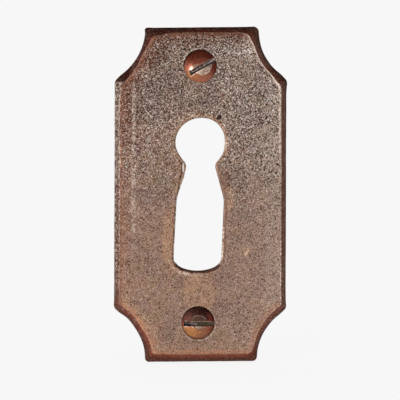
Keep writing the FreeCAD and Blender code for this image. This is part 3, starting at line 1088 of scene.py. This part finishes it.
smooth_places = calc("MAXIMUM", brown_share, rubbed)
roughness = ramp(sand["Tone"], 0.2, 0.8, 0.62, 0.44)
roughness = roughness - smooth_places * 0.14
metal = 0.6 - smooth_places * 0.3
relief = 1.0 - smooth_places * 0.8
bump = node(
    "ShaderNodeBump",
    {"Strength": 0.5, "Distance": grain_height, "Height": sand["Height"] * relief},
)
surface = node(
    "ShaderNodeBsdfPrincipled",
    {
        "Base Color": ground,
        "Metallic": metal,
        "Roughness": roughness,
        "Specular IOR Level": 0.15,
        "Normal": bump[0],
    },
)
node("ShaderNodeOutputMaterial", {"Surface": surface[0]})
plate_mesh.materials.append(finish)
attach(plate, "root")
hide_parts("escutcheon_plate")

# Two slotted wood screws with raised heads hold the plate. They are turned steel, washed
# with copper and browned like the plate. The crown of each head is rubbed flat and grey,
# and the screwdriver has burred the slot, which stops short of the rim at its left end.
screw_sizes = {
    "Head Radius": 2.8,
    "Head Rise": 0.9,
    "Head Edge": 0.12,
    "Cone Height": 1.3 / math.tan(math.radians(41)),
    "Shank Radius": 1.5,
    "Throat": 0.5,
    "Plain Length": 5.2,
    "Core Radius": 1.2,
    "Core End Radius": 0.92,
    "Core Step": 0.5,
    "Thread Pitch": 1.35,
    "Thread Width": 0.42,
    "Screw Length": 16.0,
    "Point Length": 2.8,
    "Slot Width": 0.8,
    "Slot Depth": 0.85,
    "Slot Wobble": 0.09,
    "Dents": 0.035,
}
screws = {
    "upper_screw": {
        "Worn Radius": 1.85,
        "Worn Shift Along": 0.25,
        "Worn Shift Across": 0.14,
        "Flat Share": 0.72,
        "Flat Softness": 0.2,
        "Slot Offset": 0.25,
        "Slot Stop": 0.66,
        "Slot Angle": math.radians(29.5),
        "Right": -0.08,
        "Up": screw_height - 0.1,
        "Lean": math.radians(-1.0),
        "Dulling": 0.0,
        "Seed": 1.0,
    },
    "lower_screw": {
        "Worn Radius": 1.32,
        "Worn Shift Along": 0.2,
        "Worn Shift Across": 0.18,
        "Flat Share": 1.0,
        "Flat Softness": 0.03,
        "Slot Offset": 0.05,
        "Slot Stop": 0.38,
        "Slot Angle": 0.0,
        "Right": -0.36,
        "Up": -screw_height - 0.05,
        "Lean": math.radians(2.5),
        "Dulling": 1.0,
        "Seed": 4.0,
    },
}
turns_around = 96
rows_along = 301
crown_rows, head_rows = 0.02, 0.42
crown_start = 0.1
head_end = -0.4

tree = bpy.data.node_groups.new("slotted wood screw", "GeometryNodeTree")
for label in list(screw_sizes) + list(screws["upper_screw"]):
    tree.interface.new_socket(label, in_out="INPUT", socket_type="NodeSocketFloat")
tree.interface.new_socket("Finish", in_out="INPUT", socket_type="NodeSocketMaterial")
tree.interface.new_socket("Screw", in_out="OUTPUT", socket_type="NodeSocketGeometry")
size = node("NodeGroupInput")


def between(value, low, high, start, end):
    """A straight change from one value to another over a range."""
    made = node(
        "ShaderNodeMapRange",
        {"Value": value, "From Min": low, "From Max": high, "To Min": start, "To Max": end},
    )
    return made[0]


# A grid is rolled up: its first side runs round the screw, its second from the middle of
# the crown over the head and down the shank to the point.
sheet = node(
    "GeometryNodeMeshGrid",
    {"Size X": 1.0, "Size Y": 1.0, "Vertices X": turns_around + 1, "Vertices Y": rows_along},
)
flat = node("ShaderNodeSeparateXYZ", {0: node("GeometryNodeInputPosition")[0]})
turn = flat["X"] + 0.5
along = flat["Y"] + 0.5

rise, radius = size["Head Rise"], size["Head Radius"]
squares = radius ** 2.0 + rise ** 2.0
dome = squares / (rise * 2.0)
dome_square = dome ** 2.0
dome_centre = dome - rise + face_depth
flat_radius = size["Worn Radius"] * size["Flat Share"]
worn_square = flat_radius ** 2.0
worn_drop = calc("SQRT", dome_square - worn_square)
crown = dome_centre - worn_drop
top_drop = calc("SQRT", dome_square - crown_start ** 2)
dome_top = dome_centre - top_drop
edge = size["Head Edge"] + face_depth
neck_y = edge + size["Cone Height"]
plain_y = neck_y + size["Plain Length"]
tip_y = size["Screw Length"] + face_depth
point_y = tip_y - size["Point Length"]
core_y = plain_y + size["Core Step"]

head_length = head_end - dome_top
shaft_length = tip_y - head_end
in_head = between(along, crown_rows, head_rows, 0.0, 1.0) ** 2.0
in_head = in_head * head_length
in_shaft = between(along, head_rows, 1.0, 0.0, shaft_length)
depth = dome_top + in_head + in_shaft

dome_depth = calc("MINIMUM", depth, dome_centre)
below = (dome_centre - dome_depth) ** 2.0
on_dome = calc("SQRT", calc("MAXIMUM", dome_square - below, 0.0))
cone = between(depth, edge, neck_y, radius, size["Shank Radius"])
plain = between(depth, plain_y, core_y, size["Shank Radius"], size["Core Radius"])
narrowing = size["Core Radius"] - size["Core End Radius"]
taper = between(depth, core_y, point_y, 0.0, narrowing)
pointed = calc("SQRT", between(depth, point_y, tip_y, 1.0, 0.0))
shaft = (plain - taper) * pointed
throat = calc("SMOOTH_MAX", cone, shaft, size["Throat"])
is_cone = calc("LESS_THAN", depth, neck_y + 0.5)
body = is_cone * (throat - shaft) + shaft
outside = calc("MINIMUM", calc("MINIMUM", on_dome, radius), body)
past_crown = calc("GREATER_THAN", along, crown_rows + 0.002) * 100.0
on_crown = between(along, 0.0, crown_rows, 0.0, crown_start)
outside = calc("MINIMUM", outside, on_crown + past_crown)

# The thread winds down the core as a sharp ridge and runs out on the plain shank
winding = depth / size["Thread Pitch"] - turn
off_ridge = abs(calc("FRACT", winding) - 0.5)
ridge_share = off_ridge * 2.0 / size["Thread Width"]
ridge = calc("SUBTRACT", 1.0, ridge_share, clamp=True)
run_out = between(depth, plain_y, plain_y + 1.3, 0.0, 1.0)
crest_end = point_y + 0.4
crest = between(depth, crest_end, tip_y, size["Shank Radius"] * 0.98, 0.0)
thread = calc("MAXIMUM", crest - shaft, 0.0)
thread = thread * ridge * run_out
outside = outside + thread

# The crown is rubbed down to a small flat that leans a little to one side
angle = turn * (2 * math.pi)
rolled_x = outside * calc("SINE", angle)
rolled_z = outside * calc("COSINE", angle)
lean_x = rolled_x * size["Worn Shift Along"] / dome
lean_z = rolled_z * size["Worn Shift Across"] / dome
worn_depth = crown + lean_x + lean_z
in_dome = calc("LESS_THAN", depth, edge)
worn_depth = calc("SMOOTH_MAX", worn_depth, depth, size["Flat Softness"])
worn_depth = (worn_depth - depth) * in_dome
rolled = node("ShaderNodeCombineXYZ", {"X": rolled_x, "Y": depth + worn_depth, "Z": rolled_z})
blank = node("GeometryNodeSetPosition", {"Geometry": sheet["Mesh"], "Position": rolled[0]})
blank = node("GeometryNodeMergeByDistance", {"Geometry": blank[0], "Distance": 0.0002})


def uneven(geometry, scale, reach, seed):
    """Moves a surface in and out along its normal by soft noise."""
    noise = node(
        "ShaderNodeTexNoise", {"Scale": scale, "Detail": 2.0, "W": seed}, noise_dimensions="4D"
    )
    amount = (noise[0] - 0.5) * reach
    normal = node("GeometryNodeInputNormal")[0]
    move = node("ShaderNodeVectorMath", {0: normal, "Scale": amount}, operation="SCALE")
    moved = node("GeometryNodeSetPosition", {"Geometry": geometry, "Offset": move[0]})
    return moved[0]


blank = uneven(blank[0], 1.1, size["Dents"], size["Seed"])

# The slot is cut with an uneven block, so that its walls and floor look sawn and burred
slot_length = radius * 2.0 + 1.0 - size["Slot Stop"]
slot_floor = crown + size["Slot Depth"]
slot_top = face_depth - 2.0
slot_height = slot_floor - slot_top
block = node(
    "GeometryNodeMeshCube",
    {
        "Size": node(
            "ShaderNodeCombineXYZ", {"X": slot_length, "Y": slot_height, "Z": size["Slot Width"]}
        )[0],
        "Vertices X": 64,
        "Vertices Y": 24,
        "Vertices Z": 8,
    },
)
slot_left = size["Slot Stop"] - radius
block_place = node(
    "ShaderNodeCombineXYZ",
    {
        "X": slot_left + slot_length / 2.0,
        "Y": slot_height / 2.0 + slot_top,
        "Z": size["Slot Offset"] * -1.0,
    },
)
block = node("GeometryNodeTransform", {"Geometry": block["Mesh"], "Translation": block_place[0]})
block = uneven(block[0], 1.6, size["Slot Wobble"], size["Seed"] + 9.0)
cut = node("GeometryNodeMeshBoolean", {"Mesh 1": blank, "Mesh 2": block}, operation="DIFFERENCE")

# Marks for the finish, in millimetres: from the screw's axis, outside the worn crown,
# outside the slot, and below the crown
place = node("ShaderNodeSeparateXYZ", {0: node("GeometryNodeInputPosition")[0]})
square_x = place["X"] ** 2.0
square_z = place["Z"] ** 2.0
from_axis = calc("SQRT", square_x + square_z)
flat_x = (place["X"] - size["Worn Shift Along"]) ** 2.0
flat_z = (place["Z"] - size["Worn Shift Across"]) ** 2.0
from_flat = calc("SQRT", flat_x + flat_z)
from_slot = abs(place["Z"] + size["Slot Offset"])
marks = {
    "from_axis": from_axis,
    "crown_gap": from_flat - size["Worn Radius"],
    "slot_gap": calc("MAXIMUM", from_slot - size["Slot Width"] / 2.0, slot_left - place["X"]),
    "below_crown": place["Y"] - crown,
    "along_slot": place["X"],
    "above_slot": place["Z"] + size["Slot Offset"],
    "dulling": size["Dulling"],
}


def store(geometry, label, value):
    """Keeps one value for each point of a surface, for the finish to read."""
    stored = node(
        "GeometryNodeStoreNamedAttribute",
        {"Name": label, "Geometry": geometry},
        data_type="FLOAT",
        domain="POINT",
    )
    sockets = [i for i in stored.made.inputs if i.name == "Value" and i.enabled]
    tree.links.new(value.socket, sockets[0])
    return stored[0]


made = cut[0]
for label, value in marks.items():
    made = store(made, label, value)

corner = node("GeometryNodeInputMeshEdgeAngle")["Unsigned Angle"]
smooth = node("GeometryNodeSetShadeSmooth", {"Geometry": made}, domain="FACE")
creased = node(
    "GeometryNodeSetShadeSmooth",
    {
        "Geometry": smooth[0],
        "Selection": calc("GREATER_THAN", corner, math.radians(38)),
        "Shade Smooth": False,
    },
    domain="EDGE",
)
turned = node(
    "GeometryNodeTransform",
    {
        "Geometry": creased[0],
        "Translation": (0, -face_depth, 0),
        "Rotation": node("ShaderNodeCombineXYZ", {"Y": size["Slot Angle"] * -1.0})[0],
    },
)
upright = node("ShaderNodeSeparateXYZ", {0: node("GeometryNodeInputPosition")[0]})
turned = store(turned[0], "right_of_axis", upright["X"])
turned = store(turned, "above_axis", upright["Z"])
driven = node(
    "GeometryNodeTransform",
    {
        "Geometry": turned,
        "Translation": node(
            "ShaderNodeCombineXYZ", {"X": size["Right"], "Y": face_depth, "Z": size["Up"]}
        )[0],
        "Rotation": node("ShaderNodeCombineXYZ", {"X": size["Lean"]})[0],
    },
)
metres = node("GeometryNodeTransform", {"Geometry": driven[0], "Scale": (0.001, 0.001, 0.001)})
whole = node("GeometryNodeRealizeInstances", {"Geometry": metres[0]})
painted = node("GeometryNodeSetMaterial", {"Geometry": whole[0], "Material": size["Finish"]})
node("NodeGroupOutput", {"Screw": painted[0]})
screw_tree = tree

fine_height = 0.00004
copper_red = srgb(140, 62, 32)
copper_dark = srgb(112, 44, 25)
copper_black = srgb(54, 23, 15)
copper_gold = srgb(160, 94, 46)
gold_pale = srgb(188, 128, 78)
copper_pink = srgb(150, 78, 48)
pink_pale = srgb(158, 100, 72)
shade_red = srgb(128, 44, 34)
rim_shadow_dark = srgb(42, 19, 13)
rim_brown = srgb(92, 54, 28)
dull_black = srgb(44, 13, 6)
worn_grey = srgb(130, 104, 90)
worn_pale = srgb(230, 204, 184)
worn_and_glow_cream = srgb(210, 184, 162)
worn_dim = srgb(92, 72, 62)
slot_grey = srgb(186, 162, 158)
slot_olive = srgb(92, 72, 44)
slot_dark = srgb(14, 7, 6)
verdigris = srgb(126, 120, 62)
steel_grey = srgb(118, 104, 92)
steel_brown = srgb(92, 70, 56)

screw_finish = bpy.data.materials.new("aged copper screw")
screw_finish.use_nodes = True
tree = screw_finish.node_tree
tree.nodes.clear()
axis_mark, crown_mark, slot_mark, depth_mark = map(
    mark_value, ("from_axis", "crown_gap", "slot_gap", "below_crown")
)
above_slot, along_slot = mark_value("above_slot"), mark_value("along_slot")
above_axis, right_of_axis = mark_value("above_axis"), mark_value("right_of_axis")
dulled = mark_value("dulling")
shiny = 1.0 - dulled
sand = use_group(grain, {"Grain Size": 0.2, "Seed": 21.0})
patch = ramp(speckle(1.3, 22.0), 0.35, 0.65)
fine_patch = ramp(speckle(0.45, 26.0), 0.36, 0.64)

# Browned copper, painted dark maroon above as shade, redder at the sides, and painted gold or pink
# below as light
wander = (patch - 0.5) * 0.9
height_up = above_axis + wander
# Painted shade over the upper half of the head
upper = ramp(height_up, -0.3, 2)
upper = calc("MAXIMUM", upper, ramp(above_slot, 0.2, 0.5) * dulled * 0.96)
# Painted light over the lower half of the head
low = ramp(height_up, -0.2, -1.7)
low = calc("MAXIMUM", low, ramp(above_slot, -0.3, -0.7) * dulled)
lit_lower_tone = blend(
    ramp(right_of_axis + wander, -0.8, 1),
    blend(dulled, copper_gold, gold_pale),
    blend(dulled, copper_pink, pink_pale),
)
ground = blend(low, copper_red, lit_lower_tone)
ground = blend(upper, ground, blend(dulled, copper_dark, dull_black))
# Painted light: a redder glow on the left of the upper half, towards the lamp
left_lit_red = ramp(right_of_axis, -0.6, -2.2) * ramp(height_up, 2, 0.4)
left_lit_red = left_lit_red * ramp(dulled, 0, 1, 0.5, 0.14)
ground = blend(left_lit_red * upper, ground, copper_red)
# Painted shade: dark red on the lower right of the head
right_shade = ramp(right_of_axis, 1.2, 2.3) * ramp(above_axis, -2.2, -0.9)
ground = blend(right_shade * ramp(dulled, 0, 1, 0.5, 0.8), ground, shade_red)
ground = blend(fine_patch * 0.22, ground, copper_dark)
fine_dark = ramp(sand["Tone"], 0.45, 0, 0, 0.5) * ramp(dulled, 0, 1, 0.6, 1)
ground = blend(fine_dark, ground, copper_black)
ground = blend(ramp(sand["Tone"], 0.6, 1, 0, 0.1), ground, gold_pale)
rim_place = axis_mark + ramp(above_axis, -0.5, 2.2) * 0.12
rim_place = rim_place + (fine_patch - 0.5) * 0.16
# Painted shadow round the rim of the head, darkest at the top
rim_shadow = ramp(rim_place, 2.7, 2.88, 0, 0.8) * ramp(above_axis, -1, 1, 0.6, 1)
ground = blend(rim_shadow, ground, rim_shadow_dark)
dull_rim = dulled * ramp(rim_place, 2.2, 2.75, 0, 0.6) * ramp(above_axis, 0, -0.8)
ground = blend(dull_rim, ground, rim_brown)

# The crown is rubbed bare: below the slot on one screw, a dim disc on the other. The shiny one has
# a painted highlight glow beside its slot
fray = (speckle(0.6, 23.0) - 0.5) * 0.5
crown_edge = crown_mark + fray
crown_worn = ramp(crown_edge, 0.08, -0.08) * ramp(depth_mark, 0.5, 0.4)
is_below = ramp(above_slot, 0.1, -0.1)
crown_tone = blend(ramp(sand["Tone"], 0.1, 0.9), worn_grey, worn_and_glow_cream)
crown_tone = blend(dulled, crown_tone, worn_dim)
crown_share = is_below * ramp(dulled, 0, 1, 0.9, 0.25)
dim_share = dulled * (1.0 - is_below) * 0.36
crown_share = calc("MAXIMUM", crown_share, dim_share)
ground = blend(crown_worn * crown_share, ground, crown_tone)
# Painted highlight: a cream glow left of the crown on the shiny screw
highlight_glow = spot(along_slot, above_slot, (-1.1, 0.5), 1.3, 0.5) * shiny * 0.5
highlight_glow = highlight_glow * ramp(sand["Tone"], 0.2, 0.7, 0.4, 1)
ground = blend(highlight_glow, ground, worn_and_glow_cream)
crown_line = between_soft(crown_edge, -0.12, 0, 0.05)
crown_line = crown_line * ramp(depth_mark, 0.55, 0.45) * ramp(fine_patch, 0, 1, 0.3, 0.9)
line_below = is_below * shiny * ramp(along_slot, -0.4, 0.6, 0.2, 1)
line_above = dulled * ramp(above_slot, 0.5, 1.2) * 0.3
ground = blend(crown_line * calc("MAXIMUM", line_below, line_above), ground, worn_pale)
grey_patch = spot(along_slot, above_slot, (0.2, -0.6), 0.75, 0.32) * dulled * 0.75
grey_patch = grey_patch * ramp(sand["Tone"], 0, 0.6, 0.2, 1)
ground = blend(grey_patch, ground, bare_grey)

# The slot: a dull grey floor, painted shade along its lower wall, and bright burrs on its lips
in_slot = ramp(slot_mark, 0.08, 0) * ramp(depth_mark, 0.12, 0.24)
in_slot = in_slot * ramp(depth_mark, 1.3, 1.1)
slot_patch = ramp(speckle(0.4, 24.0), 0.4, 0.58)
slot_tone = blend(slot_patch, slot_olive, slot_grey)
slot_tone = blend(ramp(sand["Tone"], 0.5, 0, 0, 0.8), slot_tone, copper_black)
olive_share = dulled * ramp(along_slot, -0.4, 0.2, 0.2, 0.95)
slot_tone = blend(olive_share, slot_tone, slot_olive)
slot_tone = blend(dulled * ramp(slot_patch, 0.8, 0.2) * 0.6, slot_tone, slot_dark)
dark_end = dulled * ramp(along_slot, -1, -1.3) * ramp(abs(above_slot), 0.05, 0.15)
slot_tone = blend(dark_end, slot_tone, slot_dark)
# Painted shade along the slot's lower wall
slot_wall_shade = ramp(above_slot, 0.06, -0.04) * ramp(dulled, 0, 1, 0.97, 0.35)
slot_tone = blend(slot_wall_shade, slot_tone, slot_dark)
ground = blend(in_slot, ground, slot_tone)
green_end = spot(along_slot, above_slot, (-2.1, 0.12), 0.3, 0.3) * shiny * 0.55
ground = blend(green_end, ground, verdigris)
lip_low = between_soft(above_slot, -0.6, -0.42, 0.05) * ramp(along_slot, 0.4, -0.6, 0.2, 1)
lip_high = between_soft(above_slot, 0.4, 0.5, 0.04) * ramp(dulled, 0, 1, 0.6, 0.5)
slot_lip = calc("MAXIMUM", lip_low, lip_high)
slot_lip = slot_lip * ramp(depth_mark, 0.6, 0.5) * ramp(speckle(0.5, 25.0), 0.42, 0.56)
slot_lip = slot_lip * ramp(along_slot, 2.3, 2) * ramp(along_slot, -2.5, -2.2)
ground = blend(slot_lip * ramp(dulled, 0, 1, 0.7, 0.95), ground, worn_pale)

# Behind the head the steel shows grey-brown
behind = ramp(depth_mark, 1.6, 3.2)
steel_tone = blend(patch, steel_grey, steel_brown)
ground = blend(behind, ground, steel_tone)
roughness = ramp(sand["Tone"], 0, 1, 0.3, 0.4)
roughness = roughness + in_slot * 0.3
roughness = roughness + dulled * 0.15
lacquer = shiny * (1.0 - in_slot) * ramp(behind, 0, 1, 0.7, 0)
bump = node(
    "ShaderNodeBump", {"Strength": 0.25, "Distance": fine_height, "Height": sand["Height"]}
)
surface = node(
    "ShaderNodeBsdfPrincipled",
    {
        "Base Color": ground,
        "Metallic": 0.6 - in_slot * 0.6,
        "Roughness": roughness,
        "Coat Weight": lacquer,
        "Coat Roughness": 0.26,
        "Normal": bump[0],
    },
)
node("ShaderNodeOutputMaterial", {"Surface": surface[0]})

for name, own in screws.items():
    form = bpy.data.objects.new(name + "_form", bpy.data.meshes.new(name + "_form"))
    bpy.context.collection.objects.link(form)
    modifier = form.modifiers.new("screw", "NODES")
    modifier.node_group = screw_tree
    for item in screw_tree.interface.items_tree:
        if item.name in screw_sizes or item.name in own:
            modifier[item.identifier] = {**screw_sizes, **own}[item.name]
        elif item.name == "Finish":
            modifier[item.identifier] = screw_finish
    bpy.context.view_layer.update()
    worked = form.evaluated_get(bpy.context.evaluated_depsgraph_get())
    screw_mesh = bpy.data.meshes.new_from_object(worked)
    screw_mesh.name = name + "_worn"
    bpy.data.objects.remove(form)
    screw = bpy.data.objects.new(name + "_worn", screw_mesh)
    bpy.context.collection.objects.link(screw)
    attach(screw, "root")
    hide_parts(name)
